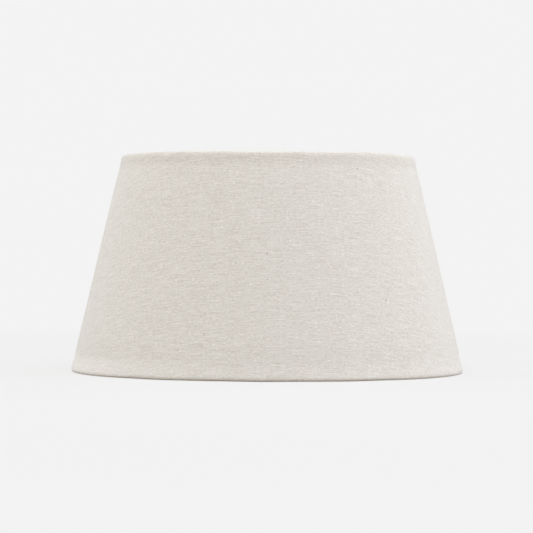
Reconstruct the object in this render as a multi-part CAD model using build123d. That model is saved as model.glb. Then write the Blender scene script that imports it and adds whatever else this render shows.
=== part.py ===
from build123d import *

import os
from math import atan2, cos, degrees, sin

# A tapered, hard-backed lamp shade: cloth bonded to a stiff plastic film, its edges rolled round
# two wire rings, with a dropped three-arm spider that carries the lampholder ring.
# Millimetres. The origin is on the shade's axis, in the plane that the bottom hem stands on, and
# +Z is up. The seam is at the back, on the +Y side.

# Finished size over the cloth.
BOTTOM_DIAMETER = 400.0
TOP_DIAMETER = 300.0
HEIGHT = 220.0

# Stock that the shade is made from.
WIRE_DIAMETER = 3.0
TAPE_THICKNESS = 0.2
FILM_THICKNESS = 0.4
CLOTH_THICKNESS = 0.8

# Rolled hems. The cloth roll sits a little outside its wire, so that it clears the wire below.
HEM_SHIFT = 0.2
HEM_WRAP = 300.0

# Lapped seam at the back.
SEAM_ANGLE = 90.0
SEAM_LAP = 12.0
SEAM_FOLD = 0.8
SEAM_TAPE_MARGIN = 5.0

# Spider: three arms that leave the top ring level, drop, and run in level to the centre ring.
ARM_ANGLES = (90.0, 210.0, 330.0)
ARM_BEND_RADIUS = 8.0
ARM_LEVEL_RUN = 11.0
ARM_SLOPE_RUN = 22.0
ARM_DROP = 30.0
WELD_SINK = 0.3
NOTCH_HALF_WIDTH = 2.6
NOTCH_CLEARANCE = 0.2

# Pressed centre ring, with a raised seat for the lampholder and a lower flange for the arms.
HOLDER_HOLE_DIAMETER = 42.0
SEAT_DIAMETER = 55.0
FLANGE_DIAMETER = 66.0
PLATE_THICKNESS = 1.2
PLATE_ROUNDING = 0.4
JOGGLE = 1.2
ARM_END_RADIUS = 29.6

# Reducer ring, a hat-shaped moulding that drops into the centre ring's hole.
REDUCER_BORE_DIAMETER = 29.0
REDUCER_FLANGE_DIAMETER = 52.0
REDUCER_WALL = 1.6
REDUCER_DEPTH = 6.0
REDUCER_SLEEVE = 3.5
REDUCER_RUNNING_GAP = 0.15
REDUCER_SEAT_GAP = 0.05
REDUCER_ROUNDING = 0.3
REDUCER_RIBS = 6
REDUCER_RIB_WIDTH = 1.2

# Worked out from the sizes above.
wire_r = WIRE_DIAMETER / 2
taped_r = wire_r + TAPE_THICKNESS
film_face = taped_r + FILM_THICKNESS
cloth_face = film_face + CLOTH_THICKNESS
roll_r = cloth_face - HEM_SHIFT
roll_inner_r = roll_r - CLOTH_THICKNESS

lean = atan2((BOTTOM_DIAMETER - TOP_DIAMETER) / 2, HEIGHT - 2 * roll_r)
bottom_ring_r = BOTTOM_DIAMETER / 2 - roll_r - HEM_SHIFT * cos(lean)
top_ring_r = TOP_DIAMETER / 2 - roll_r - HEM_SHIFT * cos(lean)
bottom_ring_z = roll_r - HEM_SHIFT * sin(lean)
top_ring_z = HEIGHT - roll_r - HEM_SHIFT * sin(lean)
slant = (top_ring_z - bottom_ring_z) / cos(lean)

seat_z = top_ring_z - ARM_DROP
flange_z = seat_z - JOGGLE
arm_end_z = flange_z + wire_r - WELD_SINK

# The wall's section is drawn in this plane: x is the distance outside the line between the two
# ring centres, and y is the distance up the slant from the bottom ring's centre.
wall_plane = Plane(
    origin=(bottom_ring_r, 0, bottom_ring_z),
    x_dir=(cos(lean), 0, sin(lean)),
    z_dir=(0, -1, 0),
)


def wall_band(inner, outer, start, end):
    """The section of a layer of the wall, between two offsets and two distances up the slant."""
    middle = Pos((inner + outer) / 2, (start + end) / 2)
    return wall_plane * middle * Rectangle(outer - inner, end - start)


def lap_degrees(width):
    """The angle that a width across the seam spans half-way up the shade."""
    return degrees(width / ((bottom_ring_r + top_ring_r) / 2))


def wire_ring(radius, height):
    """A ring of round wire about the shade's axis."""
    return Pos(0, 0, height) * Torus(radius, wire_r)


def ring_tape(radius, height):
    """The tape wrapped round a wire ring, as a tube bent to the ring."""
    return Pos(0, 0, height) * Torus(radius, taped_r) - wire_ring(radius, height)


def top_ring_tape():
    """The top ring's tape, in three lengths that stop either side of each arm's weld."""
    weld_gap = Pos(top_ring_r, 0, top_ring_z) * Box(
        3 * taped_r, 2 * NOTCH_HALF_WIDTH, 3 * taped_r
    )
    gaps = [Rot(0, 0, angle) * weld_gap for angle in ARM_ANGLES]
    return ring_tape(top_ring_r, top_ring_z) - gaps


def rolled_cloth():
    """The cloth shell with both edges rolled round their rings, as one turned section."""
    top = (HEM_SHIFT, slant)
    bottom = (HEM_SHIFT, 0)
    outside = Line((cloth_face, 0), (cloth_face, slant))
    top_out = CenterArc(top, roll_r, 0, HEM_WRAP)
    top_in = CenterArc(top, roll_inner_r, 0, HEM_WRAP)
    inside = Line((film_face, slant), (film_face, 0))
    bottom_in = CenterArc(bottom, roll_inner_r, 0, -HEM_WRAP)
    bottom_out = CenterArc(bottom, roll_r, 0, -HEM_WRAP)
    top_end = Line(top_out @ 1, top_in @ 1)
    bottom_end = Line(bottom_in @ 1, bottom_out @ 1)
    outline = [outside, top_out, top_end, top_in, inside, bottom_in, bottom_end, bottom_out]
    return revolve(wall_plane * make_face(outline), Axis.Z)


def arm_notches():
    """The cuts in the top hem that let the three arms through to the ring."""
    width = 2 * NOTCH_HALF_WIDTH
    reach = 2 * roll_r
    over_arm = wire_r + NOTCH_CLEARANCE
    under_ring = roll_r + NOTCH_CLEARANCE
    beside_arm = Pos(top_ring_r - reach / 2, 0, top_ring_z + over_arm / 2)
    below_arm = Pos(top_ring_r + (taped_r - reach) / 2, 0, top_ring_z - under_ring / 2)
    notch = beside_arm * Box(reach, width, over_arm)
    notch += below_arm * Box(reach + taped_r, width, under_ring)
    return [Rot(0, 0, angle) * notch for angle in ARM_ANGLES]


def seam_flap():
    """The outer end of the cloth where it laps over the inner end, joined along one edge."""
    lap = lap_degrees(SEAM_LAP)
    fold = lap_degrees(SEAM_FOLD)
    tape_face = cloth_face + TAPE_THICKNESS
    whole = revolve(wall_band(cloth_face, tape_face + CLOTH_THICKNESS, 0, slant), Axis.Z, lap)
    tape_space = revolve(wall_band(cloth_face, tape_face, 0, slant), Axis.Z, lap - fold)
    return Rot(0, 0, SEAM_ANGLE - lap / 2) * (whole - tape_space)


def fabric_cover():
    return rolled_cloth() + seam_flap() - arm_notches()


def lining_panel():
    return revolve(wall_band(taped_r, film_face, 0, slant), Axis.Z)


def seam_tape():
    """The tape in the lap, a little narrower and shorter than the space between the layers."""
    lap = lap_degrees(SEAM_LAP)
    width = lap_degrees(SEAM_LAP - 2 * SEAM_FOLD)
    strip = wall_band(
        cloth_face, cloth_face + TAPE_THICKNESS, SEAM_TAPE_MARGIN, slant - SEAM_TAPE_MARGIN
    )
    return Rot(0, 0, SEAM_ANGLE - lap / 2) * revolve(strip, Axis.Z, width)


def turned(outline, rounding):
    """A closed outline with its corners rounded, turned about the shade's axis."""
    section = make_face(outline)
    return revolve(Plane.XZ * fillet(section.vertices(), rounding), Axis.Z)


def centre_ring():
    """The pressed plate: a raised seat round the hole, and a lower flange under the arms."""
    hole_r = HOLDER_HOLE_DIAMETER / 2
    seat_r = SEAT_DIAMETER / 2
    flange_r = FLANGE_DIAMETER / 2
    under_seat_r = seat_r - PLATE_THICKNESS / 2
    outline = Polyline(
        (hole_r, seat_z),
        (seat_r, seat_z),
        (seat_r + JOGGLE, flange_z),
        (flange_r, flange_z),
        (flange_r, flange_z - PLATE_THICKNESS),
        (under_seat_r + JOGGLE, flange_z - PLATE_THICKNESS),
        (under_seat_r, seat_z - PLATE_THICKNESS),
        (hole_r, seat_z - PLATE_THICKNESS),
        close=True,
    )
    return turned(outline, PLATE_ROUNDING)


def spider_arm(angle):
    """One bent wire, its outer end cut to the top ring and its inner end seated on the plate."""
    route = FilletPolyline(
        (top_ring_r, top_ring_z),
        (top_ring_r - ARM_LEVEL_RUN, top_ring_z),
        (top_ring_r - ARM_LEVEL_RUN - ARM_SLOPE_RUN, arm_end_z),
        (ARM_END_RADIUS, arm_end_z),
        radius=ARM_BEND_RADIUS,
    )
    path = Plane.XZ * route
    start = Plane(origin=path @ 0, z_dir=path % 0)
    wire = sweep(start * Circle(wire_r), path)
    return Rot(0, 0, angle) * (wire - wire_ring(top_ring_r, top_ring_z) - centre_ring())


def reducer_ring():
    """The hat-shaped moulding: flange, collar, web, and a short sleeve round the bore."""
    bore_r = REDUCER_BORE_DIAMETER / 2
    flange_r = REDUCER_FLANGE_DIAMETER / 2
    collar_r = HOLDER_HOLE_DIAMETER / 2 - REDUCER_RUNNING_GAP
    under_flange = seat_z + REDUCER_SEAT_GAP
    bottom = under_flange - REDUCER_DEPTH
    web_top = bottom + REDUCER_WALL
    sleeve_top = bottom + REDUCER_SLEEVE
    sleeve_r = bore_r + REDUCER_WALL
    outline = Polyline(
        (bore_r, bottom),
        (collar_r, bottom),
        (collar_r, under_flange),
        (flange_r, under_flange),
        (flange_r, under_flange + REDUCER_WALL),
        (collar_r - REDUCER_WALL, under_flange + REDUCER_WALL),
        (collar_r - REDUCER_WALL, web_top),
        (sleeve_r, web_top),
        (sleeve_r, sleeve_top),
        (bore_r, sleeve_top),
        close=True,
    )
    hat = turned(outline, REDUCER_ROUNDING)
    rib_length = collar_r - bore_r - REDUCER_WALL
    rib_height = sleeve_top - REDUCER_ROUNDING - web_top + REDUCER_WALL / 2
    rib_middle = Pos((collar_r + bore_r) / 2, 0, sleeve_top - REDUCER_ROUNDING - rib_height / 2)
    rib = rib_middle * Box(rib_length, REDUCER_RIB_WIDTH, rib_height)
    ribs = [Rot(0, 0, turn * 360 / REDUCER_RIBS) * rib for turn in range(REDUCER_RIBS)]
    return hat + ribs


nodes = {
    "fabric_cover": fabric_cover(),
    "lining_panel": lining_panel(),
    "seam_tape": seam_tape(),
    "top_ring": wire_ring(top_ring_r, top_ring_z),
    "bottom_ring": wire_ring(bottom_ring_r, bottom_ring_z),
    "top_ring_tape": top_ring_tape(),
    "bottom_ring_tape": ring_tape(bottom_ring_r, bottom_ring_z),
    "centre_ring": centre_ring(),
    "reducer_ring": reducer_ring(),
}
for number, angle in enumerate(ARM_ANGLES, start=1):
    nodes[f"spider_arm_{number}"] = spider_arm(angle)

os.makedirs("parts", exist_ok=True)
for name, shape in nodes.items():
    export_step(shape, f"parts/{name}.step")
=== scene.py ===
from math import atan2, cos, pi, sin, tau

import bmesh
import bpy
import numpy as np
from mathutils import Matrix, Vector


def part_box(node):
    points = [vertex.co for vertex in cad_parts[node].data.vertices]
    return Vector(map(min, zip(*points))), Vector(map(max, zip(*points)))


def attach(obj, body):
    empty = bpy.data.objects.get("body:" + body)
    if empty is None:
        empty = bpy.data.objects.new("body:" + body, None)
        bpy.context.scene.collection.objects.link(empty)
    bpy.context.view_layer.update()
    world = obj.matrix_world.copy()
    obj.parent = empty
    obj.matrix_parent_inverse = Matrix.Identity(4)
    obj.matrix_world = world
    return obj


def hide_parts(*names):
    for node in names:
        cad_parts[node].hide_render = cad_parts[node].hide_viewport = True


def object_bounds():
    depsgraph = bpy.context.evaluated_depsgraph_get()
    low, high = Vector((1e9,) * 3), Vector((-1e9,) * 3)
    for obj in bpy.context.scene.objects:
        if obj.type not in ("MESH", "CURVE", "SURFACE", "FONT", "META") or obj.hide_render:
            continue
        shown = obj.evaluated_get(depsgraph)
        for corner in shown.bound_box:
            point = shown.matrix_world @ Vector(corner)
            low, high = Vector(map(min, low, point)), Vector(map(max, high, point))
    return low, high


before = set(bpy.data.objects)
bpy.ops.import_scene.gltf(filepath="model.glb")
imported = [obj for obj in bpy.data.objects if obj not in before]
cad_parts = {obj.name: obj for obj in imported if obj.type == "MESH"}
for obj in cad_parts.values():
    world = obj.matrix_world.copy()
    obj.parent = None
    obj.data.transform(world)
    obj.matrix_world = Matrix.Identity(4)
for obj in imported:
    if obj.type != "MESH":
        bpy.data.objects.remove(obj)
cad_low, cad_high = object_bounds()


# Camera. It stands level with the middle of the shade's wall, a little over two metres away, with a
# long lens, as a catalogue camera does. Its small roll is the tilt of a hand-levelled tripod.
CAMERA_PLACE = Vector((0.0108, -2.299, 0.1138))
CAMERA_AIM = Vector((-0.0012, 0.0, 0.1076))
CAMERA_ROLL = 0.0050

camera_data = bpy.data.cameras.new("camera")
camera_data.lens = 151.4
camera_data.sensor_width = 36.0
camera_data.clip_start = 0.05
camera_data.clip_end = 60.0
camera = bpy.data.objects.new("camera", camera_data)
bpy.context.scene.collection.objects.link(camera)
bpy.context.scene.camera = camera
camera.rotation_mode = "QUATERNION"
camera.location = CAMERA_PLACE
camera.rotation_quaternion = (
    (CAMERA_AIM - CAMERA_PLACE).to_track_quat("-Z", "Y")
    @ Matrix.Rotation(CAMERA_ROLL, 3, "Z").to_quaternion()
)
bpy.context.scene.view_settings.view_transform = "Standard"


# Studio. A seamless pale sweep stands under and behind the shade, and its near part takes a faint
# contact shadow. Large softboxes stand overhead, at both sides, in front and behind.
PAPER_WHITE = 0.896
PAPER_SHADOW = 0.30
PAPER_GREY = 0.72
PAPER_BOUNCE = 0.475
SHADOW_FULL = 0.3
SHADOW_GONE = 1.6
AMBIENT = 0.44


def make_nodes(tree):
    """Three short hands for building a node tree: add a node, feed a socket, and do arithmetic."""

    def add(kind, **settings):
        made = tree.nodes.new("ShaderNode" + kind)
        for name, value in settings.items():
            setattr(made, name, value)
        return made

    def feed(socket, value):
        if isinstance(value, bpy.types.NodeSocket):
            tree.links.new(value, socket)
        else:
            socket.default_value = value

    def maths(operation, *values):
        made = add("Math", operation=operation)
        for socket, value in zip(made.inputs, values):
            feed(socket, value)
        return made.outputs[0]

    return add, feed, maths


def bare_material(name):
    made = bpy.data.materials.new(name)
    made.use_nodes = True
    made.node_tree.nodes.clear()
    return made


def sweep_paper():
    """White to the eye everywhere, with a share of real shading close to the shade."""
    paper = bare_material("sweep_paper")
    add, feed, maths = make_nodes(paper.node_tree)
    place = add("NewGeometry").outputs["Position"]
    spread = add("VectorMath", operation="LENGTH")
    feed(spread.inputs[0], place)
    far = add("MapRange", interpolation_type="SMOOTHSTEP")
    feed(far.inputs["Value"], spread.outputs["Value"])
    feed(far.inputs["From Min"], SHADOW_FULL)
    feed(far.inputs["From Max"], SHADOW_GONE)
    shading = maths("MULTIPLY", maths("SUBTRACT", 1.0, far.outputs["Result"]), PAPER_SHADOW)
    seen = add("LightPath").outputs["Is Camera Ray"]
    glow = add("Emission")
    feed(glow.inputs["Color"], (PAPER_WHITE, PAPER_WHITE, PAPER_WHITE, 1.0))
    near = add("BsdfDiffuse")
    feed(near.inputs["Color"], (PAPER_GREY, PAPER_GREY, PAPER_GREY, 1.0))
    bounce = add("BsdfDiffuse")
    feed(bounce.inputs["Color"], (PAPER_BOUNCE, PAPER_BOUNCE, PAPER_BOUNCE, 1.0))
    to_eye = add("MixShader")
    feed(to_eye.inputs[0], shading)
    feed(to_eye.inputs[1], glow.outputs[0])
    feed(to_eye.inputs[2], near.outputs[0])
    mixed = add("MixShader")
    feed(mixed.inputs[0], seen)
    feed(mixed.inputs[1], bounce.outputs[0])
    feed(mixed.inputs[2], to_eye.outputs[0])
    feed(add("OutputMaterial").inputs["Surface"], mixed.outputs[0])
    return paper


def sweep_floor(reach=12.0):
    mesh = bpy.data.meshes.new("floor")
    ground = cad_low.z - 0.0001
    corners = [(-reach, -reach), (reach, -reach), (reach, reach), (-reach, reach)]
    mesh.from_pydata([(x, y, ground) for x, y in corners], [], [(0, 1, 2, 3)])
    mesh.materials.append(sweep_paper())
    floor = bpy.data.objects.new("floor", mesh)
    bpy.context.scene.collection.objects.link(floor)


def studio_world():
    world = bpy.data.worlds.new("studio")
    bpy.context.scene.world = world
    world.use_nodes = True
    world.node_tree.nodes.clear()
    add, feed, _ = make_nodes(world.node_tree)
    seen = add("LightPath").outputs["Is Camera Ray"]
    light = add("Background")
    feed(light.inputs["Color"], (1.0, 1.0, 1.0, 1.0))
    feed(light.inputs["Strength"], AMBIENT)
    white = add("Background")
    feed(white.inputs["Color"], (PAPER_WHITE, PAPER_WHITE, PAPER_WHITE, 1.0))
    mixed = add("MixShader")
    feed(mixed.inputs[0], seen)
    feed(mixed.inputs[1], light.outputs[0])
    feed(mixed.inputs[2], white.outputs[0])
    feed(add("OutputWorld").inputs["Surface"], mixed.outputs[0])


def softbox(name, place, size, watts, colour=(1.0, 1.0, 1.0)):
    """A square softbox that faces the middle of the shade."""
    data = bpy.data.lights.new(name, "AREA")
    data.size = size
    data.energy = watts
    data.color = colour
    box = bpy.data.objects.new(name, data)
    bpy.context.scene.collection.objects.link(box)
    box.location = place
    towards = (cad_low + cad_high) / 2 - Vector(place)
    box.rotation_mode = "QUATERNION"
    box.rotation_quaternion = towards.to_track_quat("-Z", "Y")


sweep_floor()
studio_world()
softbox("light_overhead", (0.0, -0.4, 2.2), 2.2, 25.5)
softbox("light_left", (-2.2, -0.7, 0.9), 1.6, 14.8, (1.0, 0.99, 0.96))
softbox("light_right", (2.2, -0.6, 0.9), 1.6, 22.2, (0.935, 0.95, 1.0))
softbox("light_front", (0.0, -3.4, 1.6), 2.4, 22.0, (1.0, 0.99, 0.96))
softbox("light_back_left", (-1.7, 1.5, 1.1), 1.4, 10.9)
softbox("light_back_right", (1.7, 1.5, 1.1), 1.4, 12.0, (0.97, 0.975, 1.0))


# Ring wires. Two hoops of 3 mm steel wire, butt-welded and powder-coated white, hold the shade's
# edges round. The top one has been pressed down a little between the arms, most at the front.
SIDE_DIP = 0.0004
FRONT_DIP = 0.0009
HOOP_STEPS = 240
SECTION_POINTS = 24
ENAMEL_WHITE = (0.850, 0.850, 0.835)
ENAMEL_CREAM = (0.800, 0.798, 0.775)


def ring_of(node):
    """The radius and height of a wire ring's centre line, and the radius of its section."""
    low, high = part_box(node)
    section = (high.z - low.z) / 2
    return (high.x - low.x) / 2 - section, (high.z + low.z) / 2, section


bottom_r, bottom_z, wire_r = ring_of("bottom_ring")
top_r, top_z, wire_r = ring_of("top_ring")


def eased(value, start, end):
    """Smoothly from 0 at start to 1 at end."""
    share = np.clip((value - start) / (end - start), 0.0, 1.0)
    return share * share * (3 - 2 * share)


def rim_dip(angle):
    """How far the top edge lies below its true height: nothing at the three arms."""
    between_arms = np.sin(1.5 * (angle - pi / 2)) ** 2
    return between_arms * (SIDE_DIP + FRONT_DIP * eased(-np.sin(angle), 0.0, 0.8))


def shell_object(name, strips, joined=False):
    """One smooth mesh from strips of points. Each row of a strip is a closed section. The ends of a
    strip are capped, or its last row is joined to its first."""
    vertices, faces = [], []
    for points in strips:
        count, around = points.shape[:2]
        ids = len(vertices) + np.arange(count * around).reshape(count, around)
        after = np.roll(ids, -1, 0) if joined else ids[1:]
        before = ids[: len(after)]
        quads = np.stack([before, np.roll(before, -1, 1), np.roll(after, -1, 1), after], axis=-1)
        faces += quads.reshape(-1, 4).tolist()
        if not joined:
            faces += [ids[0][::-1].tolist(), ids[-1].tolist()]
        vertices += points.reshape(-1, 3).tolist()
    mesh = bpy.data.meshes.new(name)
    mesh.from_pydata(vertices, [], faces)
    work = bmesh.new()
    work.from_mesh(mesh)
    bmesh.ops.recalc_face_normals(work, faces=work.faces)
    work.to_mesh(mesh)
    work.free()
    mesh.polygons.foreach_set("use_smooth", [True] * len(mesh.polygons))
    made = bpy.data.objects.new(name, mesh)
    bpy.context.scene.collection.objects.link(made)
    return made


def tube(centres, radius, up, joined=False):
    """Points of a round tube along a line of centres, with a radius for each row or each point."""
    if joined:
        onward = np.roll(centres, -1, 0) - np.roll(centres, 1, 0)
    else:
        onward = np.gradient(centres, axis=0)
    onward /= np.linalg.norm(onward, axis=1, keepdims=True)
    side = np.cross(up, onward)
    side /= np.linalg.norm(side, axis=1, keepdims=True)
    over = np.cross(onward, side)
    turn = np.linspace(0, tau, SECTION_POINTS, endpoint=False)[None, :, None]
    reach = np.broadcast_to(radius, (len(centres), SECTION_POINTS))[..., None]
    return centres[:, None] + reach * (np.cos(turn) * side[:, None] + np.sin(turn) * over[:, None])


def rim_line(angle):
    """The top ring's centre line."""
    return np.stack([top_r * np.cos(angle), top_r * np.sin(angle), top_z - rim_dip(angle)], axis=-1)


def coat_node(node, material):
    """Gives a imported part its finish, in each of its material slots."""
    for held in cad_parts[node].material_slots:
        held.material = material


def noise_on(add, feed, scale, detail=2.0, stretch=(1.0, 1.0, 1.0)):
    """Noise fixed to the piece, with that many cells to the metre."""
    sizing = add("Mapping")
    feed(sizing.inputs["Vector"], add("TexCoord").outputs["Object"])
    feed(sizing.inputs["Scale"], stretch)
    grain = add("TexNoise")
    feed(grain.inputs["Vector"], sizing.outputs[0])
    feed(grain.inputs["Scale"], scale)
    feed(grain.inputs["Detail"], detail)
    return grain.outputs[0]


def two_tone(add, feed, share, first, second):
    mix = add("Mix", data_type="RGBA")
    feed(mix.inputs[0], share)
    feed(mix.inputs[6], (*first, 1.0))
    feed(mix.inputs[7], (*second, 1.0))
    return mix.outputs[2]


def raised(add, feed, height, distance, strength):
    bump = add("Bump")
    feed(bump.inputs["Strength"], strength)
    feed(bump.inputs["Distance"], distance)
    feed(bump.inputs["Height"], height)
    return bump.outputs[0]


def powder_coat(name, peel_scale, peel_depth):
    """White polyester powder, stoved on: a soft gloss with orange peel, thinner and duller in places."""
    made = bare_material(name)
    add, feed, maths = make_nodes(made.node_tree)
    cloudy = noise_on(add, feed, 45.0, 3.0)
    peel = noise_on(add, feed, peel_scale, 1.5)
    dust = noise_on(add, feed, peel_scale * 3.1, 2.0)
    coat = add("BsdfPrincipled")
    feed(coat.inputs["Base Color"], two_tone(add, feed, cloudy, ENAMEL_CREAM, ENAMEL_WHITE))
    feed(coat.inputs["Roughness"], maths("ADD", 0.26, maths("MULTIPLY", cloudy, 0.22)))
    height = maths("ADD", peel, maths("MULTIPLY", dust, 0.15))
    feed(coat.inputs["Normal"], raised(add, feed, height, peel_depth, 0.5))
    feed(add("OutputMaterial").inputs["Surface"], coat.outputs[0])
    return made


wire_coat = powder_coat("wire_powder_coat", 620.0, 0.00012)
hoop_angle = np.linspace(0, tau, HOOP_STEPS, endpoint=False)
top_hoop = shell_object(
    "top_hoop", [tube(rim_line(hoop_angle), wire_r, (0.0, 0.0, 1.0), joined=True)], joined=True
)
top_hoop.data.materials.append(wire_coat)
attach(top_hoop, "shade")
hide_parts("top_ring")
coat_node("bottom_ring", wire_coat)


# Spider arms. Three bent 3 mm steel wires drop from the top ring to the centre ring. Each is gas
# welded to the ring wire and to the plate's flange, and the beads are coated white with the frame.
RING_BEAD = 0.00075
PLATE_BEAD = 0.00085
BEAD_STEPS = 36
BEAD_RIPPLE = 0.16
ARM_REACH_IN = 0.0034
BEAD_START = 0.0004
BEAD_OFF_WIRE = 0.0014
BEAD_FOOT = 0.0005
ARM_NODES = sorted(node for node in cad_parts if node.startswith("spider_arm"))


def arm_angle(node):
    """An arm's direction from the axis, by the middle of its box as seen from above."""
    low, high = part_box(node)
    return atan2((low.y + high.y) / 2, (low.x + high.x) / 2)


def lumpy(base, steps, seed):
    """The radius along a hand-laid bead: overlapping ripples, none quite like the next."""
    chance = np.random.default_rng(seed)
    ripples = np.abs(np.sin(np.linspace(0, 4.5 * pi, steps) + chance.uniform(0, pi)))
    swell = np.interp(np.arange(steps), np.linspace(0, steps, 7), chance.uniform(0.85, 1.15, 7))
    return (base * swell * (1 + BEAD_RIPPLE * (ripples - 0.5)))[:, None]


def turned_to(angle, points):
    """Points drawn outwards along X, turned to an arm's direction."""
    x, y, z = np.moveaxis(np.asarray(points), -1, 0)
    return np.stack([x * cos(angle) - y * sin(angle), x * sin(angle) + y * cos(angle), z], axis=-1)


def ring_bead(angle, seed):
    """A bead round an arm where it meets the ring wire: the line where two equal wires cross."""
    turn = np.linspace(0, tau, BEAD_STEPS, endpoint=False)
    saddle = np.stack(
        [top_r - wire_r * np.abs(np.cos(turn)), wire_r * np.cos(turn), top_z + wire_r * np.sin(turn)],
        axis=-1,
    )
    radius = lumpy(RING_BEAD, BEAD_STEPS, seed)
    radius[-4:] += (radius[0] - radius[-4:]) * np.linspace(0.2, 0.8, 4)[:, None]
    return tube(turned_to(angle, saddle), radius, (cos(angle), sin(angle), 0.0), joined=True)


def plate_bead(node, seed):
    """A bead along both sides of an arm's end and round it, where it lies on the plate's flange."""
    angle = arm_angle(node)
    side_steps = 8
    bend = np.linspace(-pi / 2, pi / 2, BEAD_STEPS - 2 * side_steps)
    low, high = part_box("centre_ring")
    flange_r = (high.x - low.x) / 2
    bend_r = flange_r - ARM_REACH_IN + BEAD_OFF_WIRE
    straight = np.linspace(flange_r - BEAD_START, bend_r, side_steps, endpoint=False)
    across = np.full(side_steps, BEAD_OFF_WIRE)
    x = np.concatenate([straight, bend_r - BEAD_OFF_WIRE * np.cos(bend), straight[::-1]])
    y = np.concatenate([-across, BEAD_OFF_WIRE * np.sin(bend), across])
    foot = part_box(node)[0].z + BEAD_FOOT
    line = np.stack([x, y, np.full(BEAD_STEPS, foot)], axis=-1)
    radius = lumpy(PLATE_BEAD, len(line), seed)
    return tube(turned_to(angle, line), radius, (0.0, 0.0, 1.0))


for arm in ARM_NODES:
    coat_node(arm, wire_coat)

ring_welds = shell_object(
    "ring_welds", [ring_bead(arm_angle(arm), 31 + i) for i, arm in enumerate(ARM_NODES)], joined=True
)
plate_welds = shell_object(
    "plate_welds", [plate_bead(arm, 41 + i) for i, arm in enumerate(ARM_NODES)]
)
for beads in (ring_welds, plate_welds):
    beads.data.materials.append(wire_coat)
    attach(beads, "shade")


# Centre ring. A washer of 1.2 mm sheet steel, blanked and pressed in one stroke, with a raised seat
# for the lampholder and a lower flange for the arms. It is coated with the frame.
coat_node("centre_ring", powder_coat("plate_powder_coat", 480.0, 0.00010))


# Reducer ring. A white heat-resistant moulding that drops into the centre ring's hole and takes a
# small lampholder. Its faces are finely spark-textured, and it lifts out for a large one.
PLASTIC_WHITE = (0.870, 0.872, 0.862)
PLASTIC_WARM = (0.835, 0.832, 0.812)


def moulded_plastic():
    made = bare_material("moulded_plastic")
    add, feed, maths = make_nodes(made.node_tree)
    flow = noise_on(add, feed, 60.0, 2.0, (1.0, 1.0, 3.0))
    spark = noise_on(add, feed, 2600.0, 1.0)
    plastic = add("BsdfPrincipled")
    feed(plastic.inputs["Base Color"], two_tone(add, feed, flow, PLASTIC_WARM, PLASTIC_WHITE))
    feed(plastic.inputs["Roughness"], maths("ADD", 0.34, maths("MULTIPLY", spark, 0.16)))
    feed(plastic.inputs["Normal"], raised(add, feed, spark, 0.00004, 0.4))
    feed(add("OutputMaterial").inputs["Surface"], plastic.outputs[0])
    return made


coat_node("reducer_ring", moulded_plastic())


# Ring and seam tapes. Pale double-sided tape, 0.2 mm thick, is wrapped round both ring wires and
# lies in the lapped seam. On the top ring it comes in three lengths, clear of the arms' welds.
TAPE_THICK = 0.0002
TAPE_STOP = 0.0029
TAPE_WRAP = 0.96 * pi
TAPE_STEPS = 70
TAPE_PALE = (0.800, 0.765, 0.670)
TAPE_AMBER = (0.735, 0.685, 0.560)


def wrapped_length(start, end):
    """One length of tape wrapped round the top ring, its long edges meeting on the inner side."""
    angle = np.linspace(start, end, TAPE_STEPS)
    turn = np.linspace(-TAPE_WRAP, TAPE_WRAP, SECTION_POINTS)
    arc = np.stack([np.cos(turn), np.sin(turn)])
    out, up = np.concatenate([(wire_r + TAPE_THICK) * arc, wire_r * arc[:, ::-1]], axis=1)[..., None]
    outward = np.stack([np.cos(angle), np.sin(angle), np.zeros(TAPE_STEPS)], axis=-1)
    upward = np.array([0.0, 0.0, 1.0])
    return rim_line(angle)[:, None] + out * outward[:, None] + up * upward


def adhesive_tape():
    made = bare_material("adhesive_tape")
    add, feed, maths = make_nodes(made.node_tree)
    cloudy = noise_on(add, feed, 120.0, 3.0)
    crinkle = noise_on(add, feed, 800.0, 2.0, (1.0, 1.0, 0.3))
    tape = add("BsdfPrincipled")
    feed(tape.inputs["Base Color"], two_tone(add, feed, cloudy, TAPE_AMBER, TAPE_PALE))
    feed(tape.inputs["Roughness"], maths("ADD", 0.28, maths("MULTIPLY", cloudy, 0.2)))
    feed(tape.inputs["Normal"], raised(add, feed, crinkle, 0.0001, 0.4))
    feed(add("OutputMaterial").inputs["Surface"], tape.outputs[0])
    return made


tape_finish = adhesive_tape()
arm_turns = sorted(arm_angle(arm) % tau for arm in ARM_NODES)
next_turns = arm_turns[1:] + [arm_turns[0] + tau]
top_tape = shell_object(
    "top_ring_wrap",
    [
        wrapped_length(here + TAPE_STOP / top_r, onward - TAPE_STOP / top_r)
        for here, onward in zip(arm_turns, next_turns)
    ],
)
top_tape.data.materials.append(tape_finish)
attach(top_tape, "shade")
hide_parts("top_ring_tape")
coat_node("bottom_ring_tape", tape_finish)
coat_node("seam_tape", tape_finish)


# Film lining. The stiff white styrene film that the cloth is bonded to gives the shade its shape.
# Its ends lap by 9 mm inside the seam, and it stops at the two ring wires, under the rolled cloth.
FILM_THICK = 0.0004
FILM_LAP = 0.009
FILM_STEP = 0.00045
FILM_COLUMNS = 300
FILM_ROWS = 40
FILM_STEP_RUN = 0.006
FILM_STOP = 0.03
SEAM_LAP = 0.012
FRONT = 3 * pi / 2
HEM_HOLLOW = 0.00035
HOLLOW_STARTS = (0.001, 0.009)
HOLLOW_ENDS = (0.010, 0.032)
BUCKLE = 0.00012
BUCKLE_STARTS = (0.003, 0.030)
FILM_WHITE = (0.870, 0.868, 0.850)
FILM_WARM = (0.830, 0.825, 0.800)

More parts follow.
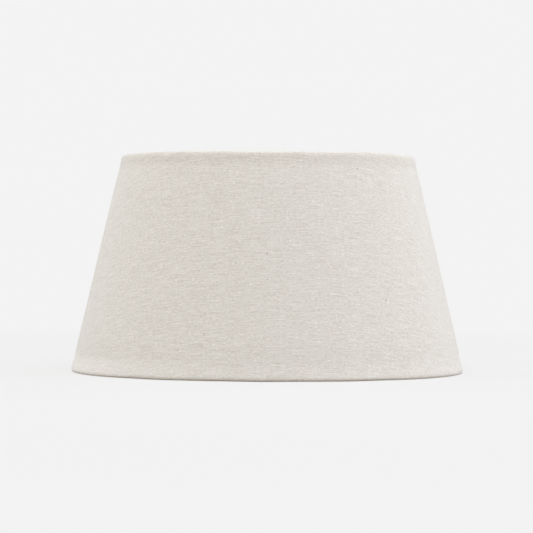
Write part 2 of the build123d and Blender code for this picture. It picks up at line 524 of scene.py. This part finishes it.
lean = atan2(bottom_r - top_r, top_z - bottom_z)
slant = (top_z - bottom_z) / cos(lean)
middle_r = (bottom_r + top_r) / 2
taped_r = wire_r + TAPE_THICK
film_face = taped_r + FILM_THICK
far_r = bottom_r / sin(lean)
seam_start = pi / 2 - SEAM_LAP / 2 / middle_r


def cut_place(angle, along):
    """Where a point of the wall lies on the flat cut, a wide arched strip: across it, and up it."""
    from_apex = far_r - along
    turn = (angle - FRONT) * sin(lean)
    return from_apex * np.sin(turn), far_r - from_apex * np.cos(turn)


class Unevenness:
    """Seeded smooth noise over the flat cut, on a 1 mm grid, with the given reach each way."""

    STEP = 0.001
    LOW = (-0.70, -0.06)
    CELLS = (1400, 520)

    def __init__(self, seed, reach_across, reach_up):
        noise = np.random.default_rng(seed).standard_normal(self.CELLS)
        across, up = (np.fft.fftfreq(count, self.STEP) for count in self.CELLS)
        fade = np.exp(-2 * pi**2 * ((across[:, None] * reach_across) ** 2 + (up * reach_up) ** 2))
        field = np.fft.ifft2(np.fft.fft2(noise) * fade).real
        self.field = field / field.std()

    def at(self, across, up):
        """The noise at points of the cut, read between the grid's cells."""
        a = np.clip((across - self.LOW[0]) / self.STEP, 0, self.CELLS[0] - 1.001)
        b = np.clip((up - self.LOW[1]) / self.STEP, 0, self.CELLS[1] - 1.001)
        i, j = a.astype(int), b.astype(int)
        a, b = a - i, b - j
        low = self.field[i, j] * (1 - a) + self.field[i + 1, j] * a
        high = self.field[i, j + 1] * (1 - a) + self.field[i + 1, j + 1] * a
        return low * (1 - b) + high * b


buckle = Unevenness(11, 0.055, 0.040)


def wall_set(angle, along):
    """How far the bonded wall stands out from the straight line between the rings: it is drawn in
    a little below each hem, and is nowhere quite even."""
    from_hem = np.minimum(along, slant - along)
    hollow = eased(from_hem, *HOLLOW_STARTS) * (1 - eased(from_hem, *HOLLOW_ENDS))
    waves = eased(from_hem, *BUCKLE_STARTS) * buckle.at(*cut_place(angle, along))
    return BUCKLE * waves - HEM_HOLLOW * hollow


def wall_points(angle, outward, along):
    """Points of the wall from the angle about the axis, the distance outside the line between the
    ring centres, and the distance up the slant."""
    radius = bottom_r + outward * cos(lean) - along * sin(lean)
    height = bottom_z + outward * sin(lean) + along * cos(lean)
    height = height - rim_dip(angle) * np.clip(along / slant, 0, 1)
    return np.stack([radius * np.cos(angle), radius * np.sin(angle), height], axis=-1)


def lining_strip():
    """The film as one closed strip, its last 9 mm stepped in behind its first."""
    whole_turn = tau * middle_r
    step = whole_turn - np.linspace(0, FILM_STEP_RUN, 5)
    travel = np.unique(np.concatenate([np.linspace(0, whole_turn + FILM_LAP, FILM_COLUMNS), step]))
    angle = seam_start + travel[:, None] / middle_r
    along = slant * (1 - np.cos(np.linspace(FILM_STOP, pi - FILM_STOP, FILM_ROWS))) / 2 + 0 * angle
    inward = FILM_STEP * eased(travel, whole_turn - FILM_STEP_RUN, whole_turn)[:, None]
    inward = inward * eased(np.minimum(along, slant - along), 0.001, 0.006)
    set_out = wall_set(angle, along) - inward
    outward = np.concatenate([taped_r + set_out, (film_face + set_out)[:, ::-1]], axis=1)
    along = np.concatenate([along, along[:, ::-1]], axis=1)
    return wall_points(angle, outward, along)


def styrene_film():
    """Satin white film with the faint clouding of a bonded sheet."""
    made = bare_material("styrene_film")
    add, feed, maths = make_nodes(made.node_tree)
    cloudy = noise_on(add, feed, 22.0, 3.0)
    grain = noise_on(add, feed, 900.0, 2.0)
    film = add("BsdfPrincipled")
    feed(film.inputs["Base Color"], two_tone(add, feed, cloudy, FILM_WARM, FILM_WHITE))
    feed(film.inputs["Roughness"], maths("ADD", 0.42, maths("MULTIPLY", cloudy, 0.12)))
    feed(film.inputs["Normal"], raised(add, feed, grain, 0.0001, 0.25))
    feed(add("OutputMaterial").inputs["Surface"], film.outputs[0])
    return made


lining = shell_object("film_lining", [lining_strip()])
lining.data.materials.append(styrene_film())
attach(lining, "shade")
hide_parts("lining_panel")


# Cloth cover. One piece of slubby off-white linen is bonded to the stiff film, its top and bottom
# edges are rolled round the ring wires and tucked behind them, and its folded end laps over the
# other in an upright seam at the back. It is snipped where the spider's arms reach the top ring.
CLOTH_THICK = 0.0008
ROLL_SHIFT = 0.0002
ROLL_WRAP = 5 * pi / 3
FLAP_WRAP = ROLL_WRAP - 0.7
SNIP_WRAP = 2.2
SNIP_HALF_WIDTH = 0.0026
SNIP_EDGE = 0.0002
ARM_CLEAR = 0.0044
PRESSED_THICK = 0.00042
SEAM_RISE = CLOTH_THICK + TAPE_THICK
SEAM_TURN_UNDER = 0.007
SEAM_FADE = 0.0045
FOLD_EXTRA = 0.0003
EDGE_ROUND = 0.0008
EDGE_CUT_BACK = 0.0005
SLUB_PROUD = 0.00006
HEM_UNEVEN = 0.00010
PUCKER_PROUD = 0.00013
WALL_ROWS = 146
BACK_ROWS = 9
ROLL_ROWS = 14
TUCK_ROWS = 9
COLUMNS = 430

cloth_face = film_face + CLOTH_THICK
roll_r = cloth_face - ROLL_SHIFT
slubs = Unevenness(12, 0.0085, 0.0013)
hem_lumps = Unevenness(13, 0.013, 0.008)
puckers = Unevenness(14, 0.0026, 0.010)


def slub_height(angle, along):
    """Thick places in the weft stand proud of the cloth."""
    proud = np.clip(slubs.at(*cut_place(angle, along)), -0.6, 2.2)
    return SLUB_PROUD * (proud + 0.6)


def cover_columns():
    """Angles along the strip, from the lap's folded edge round to the end under it, with extra
    columns at the fold and beside each arm."""
    last = seam_start + tau + (SEAM_LAP - EDGE_ROUND) / middle_r
    even = np.linspace(seam_start, last, COLUMNS)
    at_fold = np.array([0.15, 0.35, 0.6, 0.9, 6.5, 7.5, 12.0, 13.5, 15.0, 16.5]) * 0.001
    at_arm = np.array([1.6, 2.35, 2.6, 2.85, 3.2, 4.0]) * 0.001
    beside = np.concatenate([-at_arm, [0.0], at_arm]) / top_r
    extra = [seam_start + at_fold / middle_r]
    for turn in arm_turns:
        turn = seam_start + (turn - seam_start) % tau
        even = even[np.abs(even - turn) > ARM_CLEAR / top_r]
        extra.append(turn + beside)
    return np.unique(np.concatenate([even] + extra))


def cover_strip():
    """The cloth as one closed strip: up the outside, round both wires, and back behind itself.
    Gives its points, and each point's place on the flat cut."""
    angle = cover_columns()[:, None]
    travel = (angle - seam_start) * middle_r
    flap = 1 - eased(travel, SEAM_LAP, SEAM_LAP + SEAM_FADE)
    under = eased(travel, travel[-1] - SEAM_LAP - 0.006, travel[-1] - SEAM_LAP - 0.001)
    folded = 1 - eased(travel, SEAM_TURN_UNDER - 0.001, SEAM_TURN_UNDER + 0.001)
    cut_back = 1 - np.sqrt(1 - np.clip(1 - travel / EDGE_ROUND, 0, 1) ** 2)
    extra = FOLD_EXTRA * folded - EDGE_CUT_BACK * cut_back
    snip = np.zeros_like(angle)
    for turn in arm_turns:
        off_arm = np.abs((angle - turn + pi) % tau - pi) * top_r
        closed = eased(off_arm, SNIP_HALF_WIDTH - SNIP_EDGE, SNIP_HALF_WIDTH + SNIP_EDGE)
        snip = np.maximum(snip, 1 - closed)

    def wall(rows, face, depth):
        along = rows[None, :] + 0 * angle
        outward = face + wall_set(angle, along) + SEAM_RISE * flap
        outward = outward + (1 - depth) * (extra + slub_height(angle, along) * (1 - under))
        return outward, along, along

    def roll(share, wrap, depth, upward):
        turn = wrap * share[None, :]
        along = slant + turn * roll_r if upward else -turn * roll_r
        pressed = eased(turn, 0.2, 1.0)
        rise = flap * (SEAM_RISE + (PRESSED_THICK - SEAM_RISE) * pressed)
        reach = roll_r + rise - CLOTH_THICK * depth
        place = cut_place(angle, along)
        tucked = eased(turn, 2.2, 3.4)
        uneven = HEM_UNEVEN * hem_lumps.at(*place) * np.sin(np.minimum(turn, pi)) ** 2
        gathered = PUCKER_PROUD * tucked * np.clip(puckers.at(*place), -1.0, 2.0)
        proud = slub_height(angle, along) * (1 - tucked)
        thinned = under * pressed * (CLOTH_THICK - PRESSED_THICK)
        reach = reach + (1 - depth) * (extra * (1 - pressed) + uneven + gathered + proud - thinned)
        outward = ROLL_SHIFT + reach * np.cos(turn)
        rises = reach * np.sin(turn)
        return outward, (slant + rises if upward else -rises), along

    frayed = 0.10 * puckers.at(*cut_place(angle, 0 * angle)) - 0.12
    wrap = ROLL_WRAP + frayed + (FLAP_WRAP - ROLL_WRAP) * flap
    top_wrap = wrap + (SNIP_WRAP - wrap) * snip
    up = np.linspace(0, slant, WALL_ROWS)[1:-1]
    down = slant * (1 + np.cos(np.linspace(0, pi, BACK_ROWS)[1:-1])) / 2
    outer, inner = np.linspace(0, 1, ROLL_ROWS), np.linspace(0, 1, TUCK_ROWS)
    parts = [
        wall(up, cloth_face, 0),
        roll(outer, top_wrap, 0, True),
        roll(inner[::-1], top_wrap, 1, True),
        wall(down, film_face, 1),
        roll(inner, wrap, 1, False),
        roll(outer[::-1], wrap, 0, False),
    ]
    outward, along, on_cut = (np.concatenate([part[i] for part in parts], axis=1) for i in range(3))
    return wall_points(angle, outward, along), cut_place(angle, on_cut)


def lay_out_cut(piece, place):
    """Gives each corner its place on the flat cut, in metres, for the weave to follow."""
    corners = np.empty(len(piece.data.loops), int)
    piece.data.loops.foreach_get("vertex_index", corners)
    layer = piece.data.uv_layers.new(name="flat_cut")
    places = np.stack([place[0].ravel(), place[1].ravel()], axis=-1)[corners]
    layer.data.foreach_set("uv", places.ravel())


WEFT_PITCH = 0.58
WARP_PITCH = 0.50
YARN_WANDER = 3.0
WEFT_DRIFT = (38.0, 22.0)
WARP_SWAY = (25.0, 45.0)
STREAK = (3.0, 1.15)
LONG_STREAK = (19.0, 0.95)
PICK_RUN = (6.0, 1.0)
PICK_SHUFFLE = 7.31
END_RUN = (1.0, 6.0)
END_SHUFFLE = 5.17
RAGGED_EDGE = (0.9, 0.4)
NUB = (3.4, 1.5)
FLECK_CELL = (30.0, 18.0)
FLECK_SHARE = 0.055
YARN_DARK = (0.545, 0.495, 0.425)
YARN_LIGHT = (0.915, 0.890, 0.850)
FLECK_BROWN = (0.240, 0.180, 0.115)
TONE_STREAK = 0.58
TONE_LONG = 0.50
TONE_PICK = 0.34
TONE_WARP = 0.16
TONE_NUB = 0.35
# Painted light: a lighter band above the bottom hem, stronger along one side of the cut.
HEM_PAINTED_LIGHT = 0.03
HEM_PAINTED_LIGHT_BAND = (18.0, 11.0)
SIDE_PAINTED_LIGHT = 0.16
SIDE_PAINTED_LIGHT_STARTS = (-30.0, -240.0)
SIDE_PAINTED_LIGHT_ENDS = (-440.0, -320.0)
# Painted shade: a darker band just under the top hem.
RIM_PAINTED_SHADE = 0.08
RIM_PAINTED_SHADE_STARTS = (0.5, 3.0)
RIM_PAINTED_SHADE_ENDS = (14.0, 8.0)
# Painted shade: the bottom hem's underside, where it turns under the wire, is made darker and browner.
UNDERSIDE_SHADE_TINT = (0.93, 0.85, 0.73)
UNDERSIDE_SHADE_STARTS = (-1.3, -2.7)
UNDERSIDE_SHADE_ENDS = (-7.0, -5.0)


def linen():
    """Slubby plain weave, in millimetres on the flat cut. The weft is spun unevenly, so that each
    pick runs thicker, paler or darker for a few millimetres. A few brown flecks of bark are left.
    Painted shade darkens a band under the top hem and, browner, the bottom hem's underside.
    Painted light brightens a band above the bottom hem, most along one side of the cut."""
    made = bare_material("slubby_linen")
    add, feed, maths = make_nodes(made.node_tree)

    def place_at(across, up, size):
        spot = add("CombineXYZ")
        feed(spot.inputs[0], maths("DIVIDE", across, size[0]))
        feed(spot.inputs[1], maths("DIVIDE", up, size[1]))
        return spot.outputs[0]

    def noise_at(across, up, size, detail=0.0):
        grain = add("TexNoise", noise_dimensions="2D")
        feed(grain.inputs["Vector"], place_at(across, up, size))
        feed(grain.inputs["Scale"], 1.0)
        feed(grain.inputs["Detail"], detail)
        return grain.outputs[0]

    def between(value, start, end):
        ramp = add("MapRange", interpolation_type="SMOOTHSTEP")
        feed(ramp.inputs["Value"], value)
        feed(ramp.inputs["From Min"], start)
        feed(ramp.inputs["From Max"], end)
        return ramp.outputs["Result"]

    def blended(share, first, second):
        mix = add("Mix", data_type="RGBA")
        feed(mix.inputs[0], share)
        feed(mix.inputs[6], first)
        feed(mix.inputs[7], second)
        return mix.outputs[2]

    split = add("SeparateXYZ")
    feed(split.inputs[0], add("UVMap", uv_map="flat_cut").outputs[0])
    across = maths("MULTIPLY", split.outputs[0], 1000.0)
    up = maths("MULTIPLY", split.outputs[1], 1000.0)
    drift = noise_at(across, up, WEFT_DRIFT, 2.0)
    up_weft = maths("ADD", up, maths("MULTIPLY", drift, YARN_WANDER))
    sway = noise_at(across, up, WARP_SWAY, 2.0)
    across_warp = maths("ADD", across, maths("MULTIPLY", sway, YARN_WANDER))

    weft = maths("DIVIDE", up_weft, WEFT_PITCH)
    pick = maths("FLOOR", weft)
    warp = maths("DIVIDE", across_warp, WARP_PITCH)
    end = maths("FLOOR", warp)

    streak = noise_at(across, up_weft, STREAK, 1.0)
    long_streak = noise_at(across, up_weft, LONG_STREAK, 1.0)
    pick_tone = noise_at(across, maths("MULTIPLY", pick, PICK_SHUFFLE), PICK_RUN, 1.0)
    warp_tone = noise_at(maths("MULTIPLY", end, END_SHUFFLE), up, END_RUN, 1.0)
    ragged = maths("SUBTRACT", noise_at(across, up, RAGGED_EDGE, 2.0), 0.5)
    knotty = maths("ADD", noise_at(across, up, NUB), maths("MULTIPLY", ragged, 0.22))
    nub = between(knotty, 0.80, 0.91)

    spoke = add("CombineXYZ")
    feed(spoke.inputs[0], across)
    feed(spoke.inputs[1], maths("SUBTRACT", up, 1000 * far_r))
    from_apex = add("VectorMath", operation="LENGTH")
    feed(from_apex.inputs[0], spoke.outputs[0])
    above_wire = maths("SUBTRACT", 1000 * far_r, from_apex.outputs["Value"])
    below_rim = maths("SUBTRACT", 1000 * slant, above_wire)

    def band(value, starts, ends):
        return maths("MULTIPLY", between(value, *starts), between(value, *ends))

    # Painted light: the colour is made lighter in a band above the bottom wire, more along one side of
    # the cut.
    painted_light_side = band(across, SIDE_PAINTED_LIGHT_STARTS, SIDE_PAINTED_LIGHT_ENDS)
    painted_light = maths("ADD", HEM_PAINTED_LIGHT, maths("MULTIPLY", painted_light_side, SIDE_PAINTED_LIGHT))
    painted_light = maths("MULTIPLY", painted_light, between(above_wire, *HEM_PAINTED_LIGHT_BAND))
    # Painted shade: the colour is made darker in a band just under the top hem.
    rim_painted_shade = maths("MULTIPLY", band(below_rim, RIM_PAINTED_SHADE_STARTS, RIM_PAINTED_SHADE_ENDS), RIM_PAINTED_SHADE)
    # Painted shade: darker and browner on the bottom hem's underside.
    underside_painted_shade = band(above_wire, UNDERSIDE_SHADE_STARTS, UNDERSIDE_SHADE_ENDS)

    tone = maths("ADD", 0.5, maths("SUBTRACT", painted_light, rim_painted_shade))
    shares = [
        (streak, TONE_STREAK),
        (long_streak, TONE_LONG),
        (pick_tone, TONE_PICK),
        (warp_tone, TONE_WARP),
    ]
    for noise, gain in shares:
        tone = maths("ADD", tone, maths("MULTIPLY", maths("SUBTRACT", noise, 0.5), gain))
    tone = maths("ADD", tone, maths("MULTIPLY", nub, TONE_NUB))

    cells = add("TexVoronoi", voronoi_dimensions="2D")
    feed(cells.inputs["Vector"], place_at(across, up, FLECK_CELL))
    feed(cells.inputs["Scale"], 1.0)
    luck = add("SeparateColor")
    feed(luck.inputs[0], cells.outputs["Color"])
    held = maths("LESS_THAN", luck.outputs[0], FLECK_SHARE)
    size = maths("ADD", 0.022, maths("MULTIPLY", luck.outputs[1], 0.030))
    nearness = maths("ADD", maths("DIVIDE", cells.outputs["Distance"], size), ragged)
    over = maths("SINE", maths("MULTIPLY", maths("ADD", warp, pick), pi))
    woven_in = maths("ADD", 0.8, maths("MULTIPLY", over, 0.2))
    fleck = maths("MULTIPLY", maths("MULTIPLY", held, between(nearness, 1.0, 0.4)), woven_in)

    colour = blended(tone, (*YARN_DARK, 1.0), (*YARN_LIGHT, 1.0))
    colour = blended(fleck, colour, (*FLECK_BROWN, 1.0))
    # The underside's painted shade is multiplied into the cloth colour.
    underside_shaded_colour = add("Mix", data_type="RGBA", blend_type="MULTIPLY")
    feed(underside_shaded_colour.inputs[0], underside_painted_shade)
    feed(underside_shaded_colour.inputs[6], colour)
    feed(underside_shaded_colour.inputs[7], (*UNDERSIDE_SHADE_TINT, 1.0))

    weft_round = maths("SINE", maths("MULTIPLY", maths("FRACT", weft), pi))
    warp_round = maths("SINE", maths("MULTIPLY", maths("FRACT", warp), pi))
    weft_high = maths("MULTIPLY", weft_round, maths("ADD", 0.75, maths("MULTIPLY", over, 0.25)))
    warp_high = maths("MULTIPLY", warp_round, maths("SUBTRACT", 0.65, maths("MULTIPLY", over, 0.25)))
    height = maths("MAXIMUM", weft_high, warp_high)
    height = maths("ADD", height, maths("MULTIPLY", pick_tone, 1.2))
    height = maths("ADD", height, maths("MULTIPLY", nub, 1.5))

    cloth = add("BsdfPrincipled")
    feed(cloth.inputs["Base Color"], underside_shaded_colour.outputs[2])
    feed(cloth.inputs["Roughness"], maths("SUBTRACT", 0.97, maths("MULTIPLY", pick_tone, 0.12)))
    feed(cloth.inputs["Specular IOR Level"], 0.2)
    feed(cloth.inputs["Sheen Weight"], 0.55)
    feed(cloth.inputs["Sheen Roughness"], 0.40)
    feed(cloth.inputs["Normal"], raised(add, feed, height, 0.00018, 0.35))
    feed(add("OutputMaterial").inputs["Surface"], cloth.outputs[0])
    return made


cover_points, cover_cut = cover_strip()
cover = shell_object("cloth_cover", [cover_points])
lay_out_cut(cover, cover_cut)
cover.data.materials.append(linen())
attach(cover, "shade")
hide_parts("fabric_cover")
